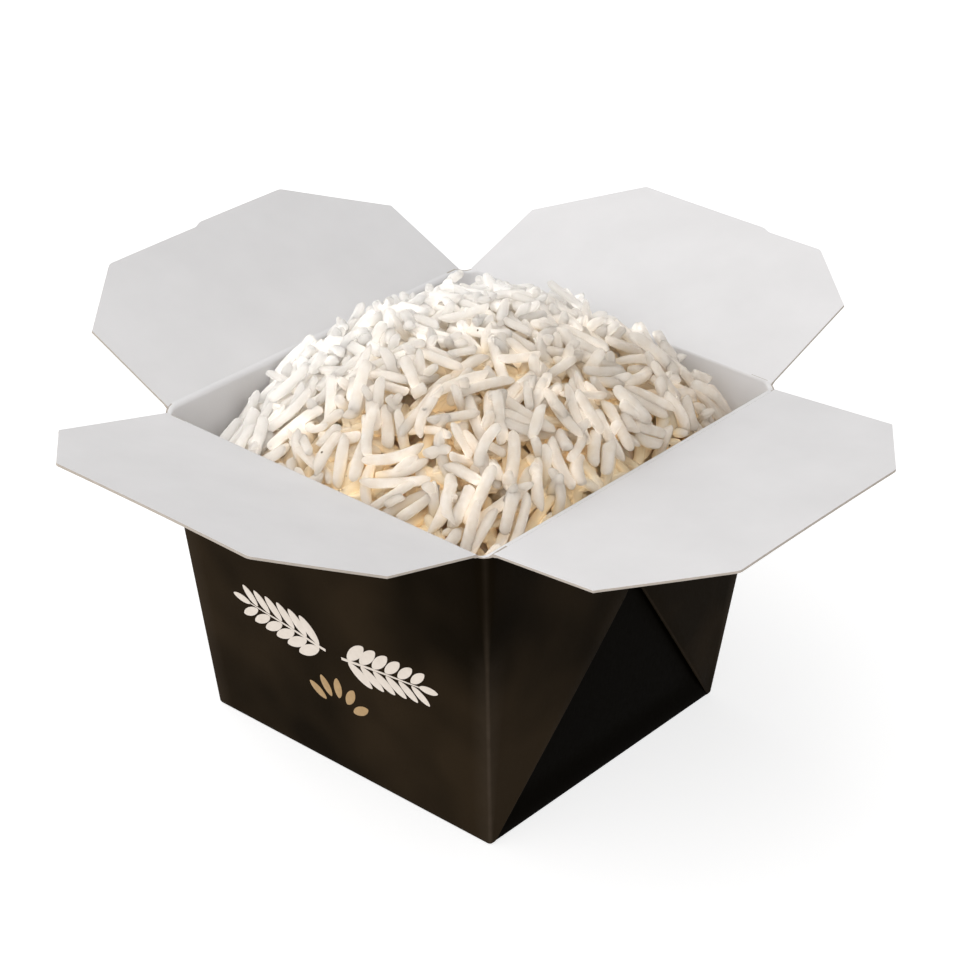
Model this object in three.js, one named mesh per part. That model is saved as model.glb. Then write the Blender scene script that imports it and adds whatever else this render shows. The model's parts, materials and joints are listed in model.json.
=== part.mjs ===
// A takeaway rice box: a folded board carton with four lid flaps standing open,
// filled with a heap of plain boiled rice. Millimetres, +Z up. The origin is the
// middle of the foot; the printed front faces -Y and the folded ends face +X and -X.

import * as THREE from 'three';

// ---- Driving dimensions ----------------------------------------------------------

const BOARD = 0.5;                   // thickness of the board
const HEIGHT = 73.5;                 // from the table to the creases of the lid flaps
const FOOT = { x: 77, y: 75 };       // outside size at the bottom
const RIM = { x: 87, y: 95 };        // outside size at the creases
const BULGE = 0.6;                   // how far the middle of a wall bulges
const FOLD_RADIUS = 0.7;             // outside radius of the upright corner folds
const RIM_RADIUS = 3.5;              // the same at the rim, where the folds open up
const OPENING_FROM = 0.6;            // fraction of the height from which they do so

const WEB = 1.0;                     // two layers of board folded flat on each end wall
const WEB_APEX = 46.5;               // height at which the two webs of an end wall meet
const WEB_RISE = 9;                  // height over which a web reaches its full thickness
const WEB_SEAM = 0.4;                // half the gap between two webs above that point
const WEB_FOOT = 1.2;                // width of a web at the very bottom
const BRINK = 0.15;                  // half the width over which a web's edge drops off

const CREASE_GAP = 0.3;              // clearance between the wall's top edge and a flap
const HINGE_OUT = 0.1;               // how far a crease lies outside the wall's face
const FLAP_INSET = 2.3;              // how far a flap's side edge stays from the corner

// The lid flaps. `turn` points a flap outwards from the box, seen from above, and `lift`
// is its angle above the horizontal. `a` is the end on the left and `b` the end on the
// right of someone who stands inside the box and looks out over the flap: `side` is the
// length of the square-cut side edge and `tip` the end of the outer edge, measured from
// the flap's middle. Where there is a `notch`, the outer edge steps back by `step` at
// `at`, and the stretch on its `shallow` side is the shorter one.
const FLAPS = {
  flap_front: { turn: 180, lift: 14.5, long: 43.8, side: { a: 25.4, b: 29.4 }, tip: { a: 23.8, b: 26.3 } },
  flap_back: {
    turn: 0, lift: 19.5, long: 40.6, side: { a: 22.1, b: 26.8 }, tip: { a: 22.1, b: 26.3 },
    notch: { at: 11.6, step: 0.8, shallow: 'b' },
  },
  flap_left: {
    turn: 90, lift: 24, long: 37.8, side: { a: 23.6, b: 22.2 }, tip: { a: 28.8, b: 23.5 },
    notch: { at: -2.5, step: 0.8, shallow: 'a' },
  },
  flap_right: { turn: -90, lift: 4.5, long: 40.7, side: { a: 28.6, b: 23.4 }, tip: { a: 27.9, b: 23.8 } },
};

// The heap of rice: a dome measured from the creases, highest a little off the middle,
// lowest in the front left and the back right corner, and rounded off along the walls.
const HEAP = {
  peak: 17, centre: { x: 2.2, y: 0.9 },
  fall: { x: 15.8, y: 16.4 }, power: 2.1, twist: 4.6,
  shoulder: { drop: 3, width: 6 },
};
const RICE_GAP = 0.4;                // clearance between the rice and the board

// The humps and hollows of the heap's uneven surface: waves, each with its `heading` in
// degrees, whose crests wander sideways by `sway` radians.
const LUMPS = [
  { size: 0.6, pitch: 19, heading: 25, sway: 1.6 },
  { size: 0.5, pitch: 14, heading: 108, sway: 2.1 },
  { size: 0.35, pitch: 10, heading: 160, sway: 1.4 },
];
const HEAP_CELLS = 38;               // cells across the heap each way
const RICE_LEVELS = 6;               // levels down the sides of the rice

const FOLD_STEPS = 3;                // facets round a corner fold
const WALL_COLUMNS = 8;              // columns across the plain part of a wall
const WEB_COLUMNS = 3;               // columns across one web
const LEVELS = 14;                   // levels up a wall

const COLOURS = { print: '#1d1813', liner: '#d9d6d2', rice: '#efe6d6' };

const { clamp, lerp, degToRad, smoothstep } = THREE.MathUtils;

// ---- The walls -------------------------------------------------------------------

// Half the outside size of the carton, along X or Y, at height z.
function halfSize(axis, z) {
  return lerp(FOOT[axis], RIM[axis], z / HEIGHT) / 2;
}

// How far out a wall bulges at s, which runs from -1 to 1 across the wall.
function bulgeAt(s, z) {
  const t = z / HEIGHT;
  return BULGE * 4 * t * (1 - t) * (1 - s * s);
}

function foldRadius(z) {
  return lerp(FOLD_RADIUS, RIM_RADIUS, smoothstep(z / HEIGHT, OPENING_FROM, 1));
}

// The inside of a fold is tighter than its outside by the thickness of the board.
function innerFoldRadius(z) {
  return Math.max(foldRadius(z) - BOARD, FOLD_RADIUS / 2);
}

// Where a web's free edge lies, as a fraction of the half width of its end wall.
function webEdge(z) {
  const half = halfSize('y', z);
  const slanted = (1 - z / WEB_APEX) * (halfSize('y', 0) - WEB_FOOT) / half;
  return Math.max(slanted, WEB_SEAM / half);
}

function webThickness(z) {
  return WEB * smoothstep(z, 0, WEB_RISE);
}

// Positions across an end wall: web, plain wall between the webs, web. Each web's edge
// is two columns close together, one on the web and one on the wall behind it.
function endColumns(z) {
  const edge = webEdge(z);
  const brink = BRINK / halfSize('y', z);
  const web = [];
  for (let i = 1; i <= WEB_COLUMNS; i++) {
    web.push({ s: lerp(1 - brink, edge + brink, i / WEB_COLUMNS), onWeb: true });
  }
  const wall = [];
  for (let i = 0; i <= WALL_COLUMNS; i++) {
    wall.push({ s: lerp(-edge, edge, i / WALL_COLUMNS), onWeb: false });
  }
  const mirrored = web.map(({ s, onWeb }) => ({ s: -s, onWeb }));
  return [...mirrored, ...wall, ...web.reverse()];
}

function frontColumns() {
  const columns = [];
  for (let i = 1; i < WALL_COLUMNS; i++) {
    columns.push({ s: lerp(-1, 1, i / WALL_COLUMNS), onWeb: false });
  }
  return columns;
}

// One closed outline of the carton at height z, counter-clockwise from above.
// The outer outline steps in behind the webs; the inner one lies one board inside that.
function outline(z, inner) {
  const radius = inner ? innerFoldRadius(z) : foldRadius(z);
  const halfX = halfSize('x', z) - (inner ? BOARD + webThickness(z) : 0);
  const halfY = halfSize('y', z) - (inner ? BOARD : 0);
  const points = [];

  const wall = (turn, columns, out, across) => {
    for (const { s, onWeb } of columns) {
      const stepIn = !inner && !onWeb && out === halfX ? webThickness(z) : 0;
      const point = new THREE.Vector2(out + bulgeAt(s, z) - stepIn, s * (across - radius));
      points.push(point.rotateAround(new THREE.Vector2(), turn));
    }
  };
  const fold = (signX, signY, from) => {
    for (let i = 0; i <= FOLD_STEPS; i++) {
      const angle = from + (Math.PI / 2) * (i / FOLD_STEPS);
      points.push(new THREE.Vector2(
        signX * (halfX - radius) + radius * Math.cos(angle),
        signY * (halfY - radius) + radius * Math.sin(angle),
      ));
    }
  };

  wall(0, endColumns(z), halfX, halfY);
  fold(1, 1, 0);
  wall(Math.PI / 2, frontColumns(), halfY, halfX);
  fold(-1, 1, Math.PI / 2);
  wall(Math.PI, endColumns(z), halfX, halfY);
  fold(-1, -1, Math.PI);
  wall(-Math.PI / 2, frontColumns(), halfY, halfX);
  fold(1, -1, -Math.PI / 2);
  return points.map((p) => new THREE.Vector3(p.x, p.y, z));
}

// ---- Closed meshes ---------------------------------------------------------------

// Joins two rings of point numbers, the first below the second, with a band of faces.
function band(lower, upper, faces) {
  for (let i = 0; i < lower.length; i++) {
    const next = (i + 1) % lower.length;
    faces.push([lower[i], lower[next], upper[next]], [lower[i], upper[next], upper[i]]);
  }
}

// Closes a ring with a fan round a point in its middle, facing up or down.
function cap(ring, points, faces, up) {
  const sum = ring.reduce((total, i) => total.add(points[i]), new THREE.Vector3());
  const middle = points.push(sum.divideScalar(ring.length)) - 1;
  for (let i = 0; i < ring.length; i++) {
    const next = ring[(i + 1) % ring.length];
    faces.push(up ? [middle, ring[i], next] : [middle, next, ring[i]]);
  }
}

function closedGeometry(points, faces) {
  const geometry = new THREE.BufferGeometry();
  const coordinates = points.flatMap((p) => [p.x, p.y, p.z]);
  geometry.setAttribute('position', new THREE.Float32BufferAttribute(coordinates, 3));
  geometry.setIndex(faces.flat());
  geometry.computeVertexNormals();
  return geometry;
}

function named(name, geometry, colour, roughness) {
  const material = new THREE.MeshStandardMaterial({ color: colour, roughness, metalness: 0 });
  const mesh = new THREE.Mesh(geometry, material);
  mesh.name = name;
  return mesh;
}

// ---- The carton ------------------------------------------------------------------

// The outer face from the foot to the top edge, then the inner face down to the floor.
function makeCarton() {
  const top = HEIGHT - CREASE_GAP;
  const outlines = [];
  for (let i = 0; i <= LEVELS; i++) {
    outlines.push(outline(lerp(0, top, i / LEVELS), false));
  }
  for (let i = LEVELS; i >= 0; i--) {
    outlines.push(outline(lerp(BOARD, top, i / LEVELS), true));
  }
  const points = outlines.flat();
  const count = outlines[0].length;
  const rings = outlines.map((_, r) => Array.from({ length: count }, (_, i) => r * count + i));
  const faces = [];
  for (let r = 0; r + 1 < rings.length; r++) {
    band(rings[r], rings[r + 1], faces);
  }
  cap(rings[0], points, faces, false);
  cap(rings.at(-1), points, faces, true);
  return named('carton', closedGeometry(points, faces), COLOURS.print, 0.5);
}

// ---- The lid flaps ---------------------------------------------------------------

// A flap lies in its own plane with its crease along X and its outer edge at +Y.
function flapShape({ turn, long, side, tip, notch }) {
  const half = RIM[turn % 180 === 0 ? 'x' : 'y'] / 2 - FLAP_INSET;
  const edge = { a: long, b: long };
  if (notch) {
    edge[notch.shallow] -= notch.step;
  }
  const shape = new THREE.Shape();
  shape.moveTo(-half, 0);
  shape.lineTo(half, 0);
  shape.lineTo(half, side.b);
  shape.lineTo(tip.b, edge.b);
  if (notch) {
    shape.lineTo(notch.at + notch.step, edge.b);
    shape.lineTo(notch.at - notch.step, edge.a);
  }
  shape.lineTo(-tip.a, edge.a);
  shape.lineTo(-half, side.a);
  shape.closePath();
  return shape;
}

// The board lies on the inner side of its crease, so that the flap can hang down
// outside the wall as well as stand up on it.
function makeFlap(name, flap) {
  const geometry = new THREE.ExtrudeGeometry(flapShape(flap), { depth: BOARD, bevelEnabled: false });
  const mesh = named(name, geometry, COLOURS.liner, 0.7);
  mesh.rotation.x = degToRad(flap.lift);
  mesh.position.set(0, RIM[flap.turn % 180 === 0 ? 'y' : 'x'] / 2 + HINGE_OUT, HEIGHT);
  const turned = new THREE.Group();
  turned.rotation.z = degToRad(flap.turn);
  turned.add(mesh);
  return turned;
}

// ---- The rice --------------------------------------------------------------------

function lumpAt({ size, pitch, heading, sway }, x, y) {
  const along = new THREE.Vector2(x, y).rotateAround(new THREE.Vector2(), -degToRad(heading));
  const wave = (2 * Math.PI * along.x) / pitch;
  const wander = (Math.PI * along.y) / pitch;
  return size * Math.sin(wave + sway * Math.sin(wander));
}

// Height of the rice above the foot at (x, y), which lies `inside` from the nearest wall.
function heapHeight(x, y, inside) {
  const { peak, centre, fall, power, twist, shoulder } = HEAP;
  const u = (x - centre.x) / (RIM.x / 2);
  const v = (y - centre.y) / (RIM.y / 2);
  const dome = peak - fall.x * Math.abs(u) ** power - fall.y * Math.abs(v) ** power - twist * u * v;
  const rounding = shoulder.drop * Math.max(1 - inside / shoulder.width, 0) ** 2;
  return LUMPS.reduce((sum, lump) => sum + lumpAt(lump, x, y), HEIGHT + dome - rounding);
}

// Half the size of the rice along X and Y at height z; above the rim it stays what it is there.
function riceHalves(z) {
  const level = Math.min(z, HEIGHT);
  return {
    level,
    halfX: halfSize('x', level) - BOARD - webThickness(level) - RICE_GAP,
    halfY: halfSize('y', level) - BOARD - RICE_GAP,
  };
}

// The place of (u, v), which run from -1 to 1 across the rice, at height z. The corners
// are rounded like the folds round them.
function acrossRice(u, v, z) {
  const { level, halfX, halfY } = riceHalves(z);
  const radius = Math.max(innerFoldRadius(level) - RICE_GAP, 0);
  const point = new THREE.Vector2(u * halfX, v * halfY);
  const middle = new THREE.Vector2(
    clamp(point.x, radius - halfX, halfX - radius),
    clamp(point.y, radius - halfY, halfY - radius),
  );
  return point.sub(middle).clampLength(0, radius).add(middle);
}

// A point of the heap's surface at (u, v). The walls lean out, so its height and its
// place are worked out from each other in turn.
function heapPoint(u, v) {
  const passes = 6;
  let z = HEIGHT;
  let place = acrossRice(u, v, z);
  for (let pass = 0; pass < passes; pass++) {
    const { halfX, halfY } = riceHalves(z);
    const inside = Math.min((1 - Math.abs(u)) * halfX, (1 - Math.abs(v)) * halfY);
    z = heapHeight(place.x, place.y, inside);
    place = acrossRice(u, v, z);
  }
  return new THREE.Vector3(place.x, place.y, z);
}

function makeRice() {
  const n = HEAP_CELLS;
  const at = (i) => -1 + (2 * i) / n;
  const index = (i, j) => j * (n + 1) + i;
  const points = [];
  const faces = [];
  for (let j = 0; j <= n; j++) {
    for (let i = 0; i <= n; i++) {
      points.push(heapPoint(at(i), at(j)));
    }
  }
  for (let j = 0; j < n; j++) {
    for (let i = 0; i < n; i++) {
      faces.push([index(i, j), index(i + 1, j), index(i + 1, j + 1)]);
      faces.push([index(i, j), index(i + 1, j + 1), index(i, j + 1)]);
    }
  }

  // The border of that surface, counter-clockwise from above, is carried down the walls.
  const border = [];
  for (let i = 0; i < n; i++) border.push([i, 0]);
  for (let j = 0; j < n; j++) border.push([n, j]);
  for (let i = n; i > 0; i--) border.push([i, n]);
  for (let j = n; j > 0; j--) border.push([0, j]);
  const rim = border.map(([i, j]) => index(i, j));
  const bottom = BOARD + RICE_GAP;
  let upper = rim;
  for (let level = RICE_LEVELS - 1; level >= 0; level--) {
    const lower = border.map(([i, j], k) => {
      const z = lerp(bottom, points[rim[k]].z, level / RICE_LEVELS);
      const place = acrossRice(at(i), at(j), z);
      return points.push(new THREE.Vector3(place.x, place.y, z)) - 1;
    });
    band(lower, upper, faces);
    upper = lower;
  }
  cap(upper, points, faces, false);
  return named('rice', closedGeometry(points, faces), COLOURS.rice, 0.6);
}

// ---- The box ---------------------------------------------------------------------

const box = new THREE.Group();
box.add(makeCarton());
box.add(makeRice());
for (const [name, flap] of Object.entries(FLAPS)) {
  box.add(makeFlap(name, flap));
}

export default box;
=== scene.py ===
"""A folded-board takeaway box of boiled rice: the looks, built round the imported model.

Shapes are worked out in millimetres and become metres when a mesh is made. +Z is up, the
origin is the middle of the foot, the printed front faces -Y and the folded end walls face
+X and -X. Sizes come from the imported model; what only shows, such as the rounding of a
fold or a single grain, is named here.
"""

import json
import math

import bpy
import numpy as np
from mathutils import Matrix, Vector
from mathutils.bvhtree import BVHTree


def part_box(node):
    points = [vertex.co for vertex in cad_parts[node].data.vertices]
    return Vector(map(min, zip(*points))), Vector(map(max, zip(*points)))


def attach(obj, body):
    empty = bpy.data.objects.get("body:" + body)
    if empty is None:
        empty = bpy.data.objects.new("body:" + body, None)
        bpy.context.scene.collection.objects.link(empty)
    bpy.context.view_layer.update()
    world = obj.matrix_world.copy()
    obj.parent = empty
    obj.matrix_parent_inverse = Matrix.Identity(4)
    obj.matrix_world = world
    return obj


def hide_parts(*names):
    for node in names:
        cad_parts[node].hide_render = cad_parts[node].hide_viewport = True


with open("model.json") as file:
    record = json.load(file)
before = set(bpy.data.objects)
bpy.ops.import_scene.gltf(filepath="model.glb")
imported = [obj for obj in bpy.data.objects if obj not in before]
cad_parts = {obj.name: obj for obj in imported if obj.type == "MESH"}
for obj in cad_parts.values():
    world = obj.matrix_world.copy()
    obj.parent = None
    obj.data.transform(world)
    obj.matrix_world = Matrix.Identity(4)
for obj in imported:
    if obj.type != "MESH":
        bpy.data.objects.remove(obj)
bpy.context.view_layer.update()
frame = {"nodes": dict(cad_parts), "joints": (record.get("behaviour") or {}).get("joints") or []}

MM = 0.001
X, Y, Z = 0, 1, 2
JOINTS = {joint["child"]: joint for joint in frame["joints"]}
BODY_OF = {"flap_front": "lid_front", "flap_back": "lid_back",
           "flap_left": "lid_left", "flap_right": "lid_right"}


def node_points(node):
    """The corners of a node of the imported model, in millimetres."""
    mesh = frame["nodes"][node].data
    flat = np.empty(3 * len(mesh.vertices))
    mesh.vertices.foreach_get("co", flat)
    return flat.reshape(-1, 3) / MM


# ---- Sizes of the box ------------------------------------------------------------------

BOARD = 0.5                # thickness of the board
WEB = 1.0                  # the two layers of a web
HINGE_OUT = 0.1            # how far a crease lies outside the wall's face
CARTON = node_points("carton")
HEIGHT = JOINTS["lid_front"]["pos_m"][Z] / MM
FOOT = np.abs(CARTON[CARTON[:, Z] < 0.01]).max(axis=0)[:2]
RIM = np.array([
    abs(JOINTS["lid_right"]["pos_m"][X]) / MM - HINGE_OUT,
    abs(JOINTS["lid_front"]["pos_m"][Y]) / MM - HINGE_OUT,
])

FOLD_RADIUS = 0.7          # outside radius of the upright corner folds
RIM_RADIUS = 3.5           # the same at the rim, where the folds open up
OPENING_FROM = 0.6         # fraction of the height from which they do so
FOOT_RADIUS = 0.8          # rounding of the folds round the foot
BULGE = 0.6                # how far the middle of a wall bulges


def lerp(a, b, t):
    return a + (b - a) * t


def smoothstep(low, high, x):
    t = np.clip((x - low) / (high - low), 0, 1)
    return t * t * (3 - 2 * t)


def half_size(axis, z):
    """Half the outside size of the carton along X or Y at height z."""
    return lerp(FOOT[axis], RIM[axis], z / HEIGHT)


def fold_radius(z):
    return lerp(FOLD_RADIUS, RIM_RADIUS, smoothstep(OPENING_FROM, 1, z / HEIGHT))


def quarter_turn(steps):
    """The angles from 0 to a right angle in even steps, with both ends."""
    return [math.pi / 2 * step / steps for step in range(steps + 1)]


def bulge_at(s, z):
    """How far a wall bulges at s, which runs from -1 to 1 across it."""
    t = np.clip(z / HEIGHT, 0, 1)
    return BULGE * 4 * t * (1 - t) * (1 - s * s)


# ---- Making meshes ---------------------------------------------------------------------

def into_scene(name, data):
    """An object made of a mesh, light or camera, put into the scene."""
    item = bpy.data.objects.new(name, data)
    bpy.context.scene.collection.objects.link(item)
    return item


def mesh_object(name, points, faces, materials, slots=None, layers=None, sharp=35):
    """A shaded object from points in millimetres. slots gives each face's material, and
    layers gives each named value that a material reads at the points."""
    mesh = bpy.data.meshes.new(name)
    mesh.from_pydata((np.asarray(points) * MM).tolist(), [], faces)
    for material in materials:
        mesh.materials.append(material)
    if slots is not None:
        mesh.polygons.foreach_set("material_index", slots)
    for title, values in (layers or {}).items():
        layer = mesh.attributes.new(title, "FLOAT", "POINT")
        layer.data.foreach_set("value", np.asarray(values, dtype=np.float32))
    mesh.shade_smooth()
    if sharp is not None:
        mesh.set_sharp_from_angle(angle=math.radians(sharp))
    mesh.update()
    return into_scene(name, mesh)


def band_faces(lower, upper):
    """Quads between two closed rings of point numbers, the first below the second."""
    return [
        (lower[i], lower[(i + 1) % len(lower)], upper[(i + 1) % len(lower)], upper[i])
        for i in range(len(lower))
    ]


def fan_faces(ring, middle, up):
    """Triangles from a ring of point numbers to one in its middle."""
    faces = [(middle, ring[i], ring[(i + 1) % len(ring)]) for i in range(len(ring))]
    return faces if up else [face[::-1] for face in faces]


# ---- Materials -------------------------------------------------------------------------

NOISE_ROUGHNESS = 0.55
SPECK_MIDDLE = 0.6         # share of a speck's radius within which it is at its full


class Finish:
    """A material with a Principled shader, and short ways to add nodes to it."""

    def __init__(self, name, **sockets):
        self.material = bpy.data.materials.new(name)
        self.material.use_nodes = True
        self.tree = self.material.node_tree
        self.shader = self.tree.nodes["Principled BSDF"]
        for socket, value in sockets.items():
            self.shader.inputs[socket.replace("_", " ")].default_value = value
        self.place = self.node("ShaderNodeTexCoord").outputs["Object"]

    def node(self, kind, **settings):
        made = self.tree.nodes.new(kind)
        for name, value in settings.items():
            setattr(made, name, value)
        return made

    def link(self, output, socket):
        self.tree.links.new(output, socket)

    def pattern(self, kind, size, stretch=(1, 1, 1)):
        """A texture node with cells of a size in millimetres, longer along an axis by stretch."""
        mapping = self.node("ShaderNodeMapping")
        mapping.inputs["Scale"].default_value = [1 / (size * MM * s) for s in stretch]
        self.link(self.place, mapping.inputs["Vector"])
        texture = self.node(kind)
        texture.inputs["Scale"].default_value = 1
        self.link(mapping.outputs["Vector"], texture.inputs["Vector"])
        return texture

    def noise(self, size, detail=3.0, stretch=(1, 1, 1)):
        noise = self.pattern("ShaderNodeTexNoise", size, stretch)
        noise.inputs["Detail"].default_value = detail
        noise.inputs["Roughness"].default_value = NOISE_ROUGHNESS
        return noise.outputs["Fac"]

    def specks(self, spacing, radius):
        """1 in small specks and 0 elsewhere, spacing apart and up to radius in size, in
        millimetres."""
        distance = self.pattern("ShaderNodeTexVoronoi", spacing).outputs["Distance"]
        return self.remap(distance, radius / spacing, SPECK_MIDDLE * radius / spacing)

    def attribute(self, name):
        return self.node("ShaderNodeAttribute", attribute_name=name).outputs["Fac"]

    def remap(self, value, low, high, to_low=0.0, to_high=1.0):
        node = self.node("ShaderNodeMapRange")
        limits = {"From Min": low, "From Max": high, "To Min": to_low, "To Max": to_high}
        for socket, number in limits.items():
            node.inputs[socket].default_value = number
        self.link(value, node.inputs["Value"])
        return node.outputs["Result"]

    def multiply(self, a, b):
        node = self.node("ShaderNodeMath", operation="MULTIPLY")
        self.link(a, node.inputs[0])
        self.link(b, node.inputs[1])
        return node.outputs["Value"]

    def mix(self, factor, a, b):
        """A colour between a and b, each a colour or another node's output."""
        node = self.node("ShaderNodeMix", data_type="RGBA")
        self.link(factor, node.inputs["Factor"])
        colours = [socket for socket in node.inputs if socket.type == "RGBA"]
        for socket, colour in zip(colours, (a, b)):
            if isinstance(colour, tuple):
                socket.default_value = (*colour, 1)
            else:
                self.link(colour, socket)
        return next(socket for socket in node.outputs if socket.type == "RGBA")

    def colour(self, output):
        self.link(output, self.shader.inputs["Base Color"])

    def roughness(self, output):
        self.link(output, self.shader.inputs["Roughness"])

    def bump(self, height, depth):
        """Relief that is depth millimetres deep where height goes from 0 to 1."""
        node = self.node("ShaderNodeBump")
        node.inputs["Distance"].default_value = depth * MM
        node.inputs["Strength"].default_value = 1.0
        self.link(height, node.inputs["Height"])
        self.link(node.outputs["Normal"], self.shader.inputs["Normal"])


def printed_board():
    """Board printed brown-black all over, dull satin, with a rubbed stripe and painted highlight
    along its folds, and painted shade that darkens the ink between the webs and under the lid
    flaps at the front right corner."""
    finish = Finish("printed_board", Specular_IOR_Level=0.006, Specular_Tint=(1.0, 0.75, 0.45, 1))
    cloud = finish.remap(finish.noise(30, detail=2), 0.35, 0.65)
    fibre = finish.noise(0.5, detail=4, stretch=(1, 1, 3))
    ink = finish.mix(cloud, (0.0080, 0.0053, 0.0026), (0.0230, 0.0150, 0.0078))
    # painted shade: near-black ink where shade falls between the webs and under the lid flaps at
    # the front right corner
    ink_with_painted_shade = finish.mix(finish.attribute("painted_shade"), ink, (0.0012, 0.0008, 0.0002))
    # rubbed stripe and painted highlight: lighter brown down the folds, partly wear and partly
    # where a fold catches the light, and a painted highlight on the webs' edges
    patchy = finish.remap(finish.noise(2.5, detail=4), 0.2, 0.8, 0.6, 1)
    rub_and_highlight = finish.multiply(finish.attribute("wear_and_highlight"), patchy)
    finish.colour(finish.mix(rub_and_highlight, ink_with_painted_shade, (0.052, 0.039, 0.028)))
    finish.roughness(finish.remap(fibre, 0.3, 0.7, 0.42, 0.55))
    finish.bump(fibre, 0.02)
    return finish.material


def white_board():
    """The uncoated white inside of the board."""
    finish = Finish("white_board", Specular_IOR_Level=0.25)
    cloud = finish.remap(finish.noise(16, detail=3), 0.3, 0.7)
    fibre = finish.noise(0.45, detail=4, stretch=(3, 1, 1))
    finish.colour(finish.mix(cloud, (0.786, 0.778, 0.784), (0.826, 0.818, 0.825)))
    finish.roughness(finish.remap(fibre, 0.3, 0.7, 0.62, 0.8))
    finish.bump(fibre, 0.02)
    return finish.material


def cut_board():
    """The cut edge of the board: grey-brown pulp in thin layers."""
    finish = Finish("cut_board", Specular_IOR_Level=0.2)
    pulp = finish.noise(0.3, detail=4, stretch=(6, 6, 1))
    finish.colour(finish.mix(pulp, (0.34, 0.30, 0.25), (0.57, 0.51, 0.46)))
    finish.roughness(finish.remap(pulp, 0.3, 0.7, 0.75, 0.9))
    finish.bump(pulp, 0.03)
    return finish.material


BOARD_FINISHES = [printed_board(), white_board(), cut_board()]
PRINT, LINER, EDGE = range(3)


# ---- The carton ------------------------------------------------------------------------

CREASE_GAP = 0.3           # from the wall's cut edge up to the crease
LIP = 0.5                  # how far the bent board rises over the crease
LIP_DROP = 0.9             # height over which the bend runs out on the inner face
WEB_RISE = 9               # height over which a web reaches its full thickness
WEB_FOOT = 1.2             # width of a web at the very bottom
LEAST_WEB = 0.08           # its thickness there
WEB_TOP = 0.7              # how far a web's cut top lies under the crease
WEB_CUT = 0.1              # height over which that cut runs in to the wall
CORNER_DROP = 0.1          # how far the cut edge slopes down to the inside at a corner
INNER_TOP = 1.0            # how far under the crease the plain inner wall begins
NOSE_SHARE = 0.4           # radius of a web's rounded free edge, at most, in web widths
POCKET = 3                 # how far the dark gap reaches in behind a web,
POCKET_SHARE = 0.5         # the same, at most, in web widths,
POCKET_LIFT = 0.02         # and how far its inner end stands off the wall's plane
RUB_HIGHLIGHT_WIDTH = 0.55           # half the width of the rubbed stripe and painted highlight down a fold
HIGHLIGHT_FADE = (30, 66)        # heights over which that stripe fades out under the flaps, as painted shade,
HIGHLIGHT_LOST = 0.8             # and how much of it is gone at the top
EDGE_HIGHLIGHT = 0.25            # how strong the painted highlight on a web's edge is
FLAP_SHADOW = 0.8              # how strong the painted shadow of the lid flaps is at the front right corner,
FLAP_SHADOW_REACH = 17         # how far from the corner that goes,
FLAP_SHADOW_RISE = (28, 66)    # and the heights over which it comes in

# Each end wall's two webs, seen from outside: the height at which the free edge reaches
# the middle, how far from the middle it stays, and how far the edge stands off the wall.
WEBS = {
    "left": {"apex": 45.5, "stop": 0.3, "gap": 0.25},
    "right": {"apex": 47.5, "stop": 1.3, "gap": 0.55},
}
FOLD_STEPS = 6
WALL_COLUMNS = 20
WEB_COLUMNS = 8
NOSE_STEPS = 6
LEVELS = 46
INNER_LEVELS = 30
LIP_STEPS = 6


def web_thickness(z):
    return max(WEB * smoothstep(0, WEB_RISE, z), LEAST_WEB)


def inner_radius(z):
    return max(fold_radius(z) - BOARD, FOLD_RADIUS / 2)


def web_columns(z, half, web):
    """Half an end wall from its corner to the middle, as (across, depth behind the face):
    the web's face, its rounded free edge, the pocket behind it and the wall."""
    slanted = lerp(FOOT[Y] - WEB_FOOT, web["stop"], z / web["apex"])
    edge = max(slanted, web["stop"])
    thickness = web_thickness(z)
    nose = min(thickness / 2, NOSE_SHARE * (half - edge))
    gap = web["gap"] * thickness / WEB
    columns = []
    for i in range(1, WEB_COLUMNS + 1):
        t = i / WEB_COLUMNS
        columns.append((lerp(half, edge + nose, t), -gap * t * t))
    for i in range(1, NOSE_STEPS + 1):
        angle = math.pi * i / NOSE_STEPS
        columns.append((edge + nose - nose * math.sin(angle), -gap + nose - nose * math.cos(angle)))
    pocket = min(POCKET, POCKET_SHARE * (half - edge))
    columns.append((edge + nose + pocket, thickness - POCKET_LIFT))
    columns.append((edge, thickness))
    return columns


WEB_POINTS = WEB_COLUMNS + NOSE_STEPS + 2


def plain_web_columns(half, stop):
    """The same number of columns laid out evenly, without the web's shape."""
    return [(lerp(half, stop, i / WEB_POINTS), 0.0) for i in range(1, WEB_POINTS + 1)]


def end_columns(z, half, plain):
    """An end wall from the left to the right as seen from outside: (across, depth)."""
    left, right = (
        plain_web_columns(half, web["stop"]) if plain else web_columns(z, half, web)
        for web in (WEBS["left"], WEBS["right"])
    )
    depth = 0.0 if plain else web_thickness(z)
    start, stop = -left[-1][0], right[-1][0]
    middle = [(lerp(start, stop, i / WALL_COLUMNS), depth) for i in range(1, WALL_COLUMNS)]
    return [(-a, d) for a, d in left] + middle + right[::-1]


def front_columns(half):
    """A front or back wall from the left to the right, the same way."""
    return [(lerp(-half, half, i / WALL_COLUMNS), 0.0) for i in range(1, WALL_COLUMNS)]


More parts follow.
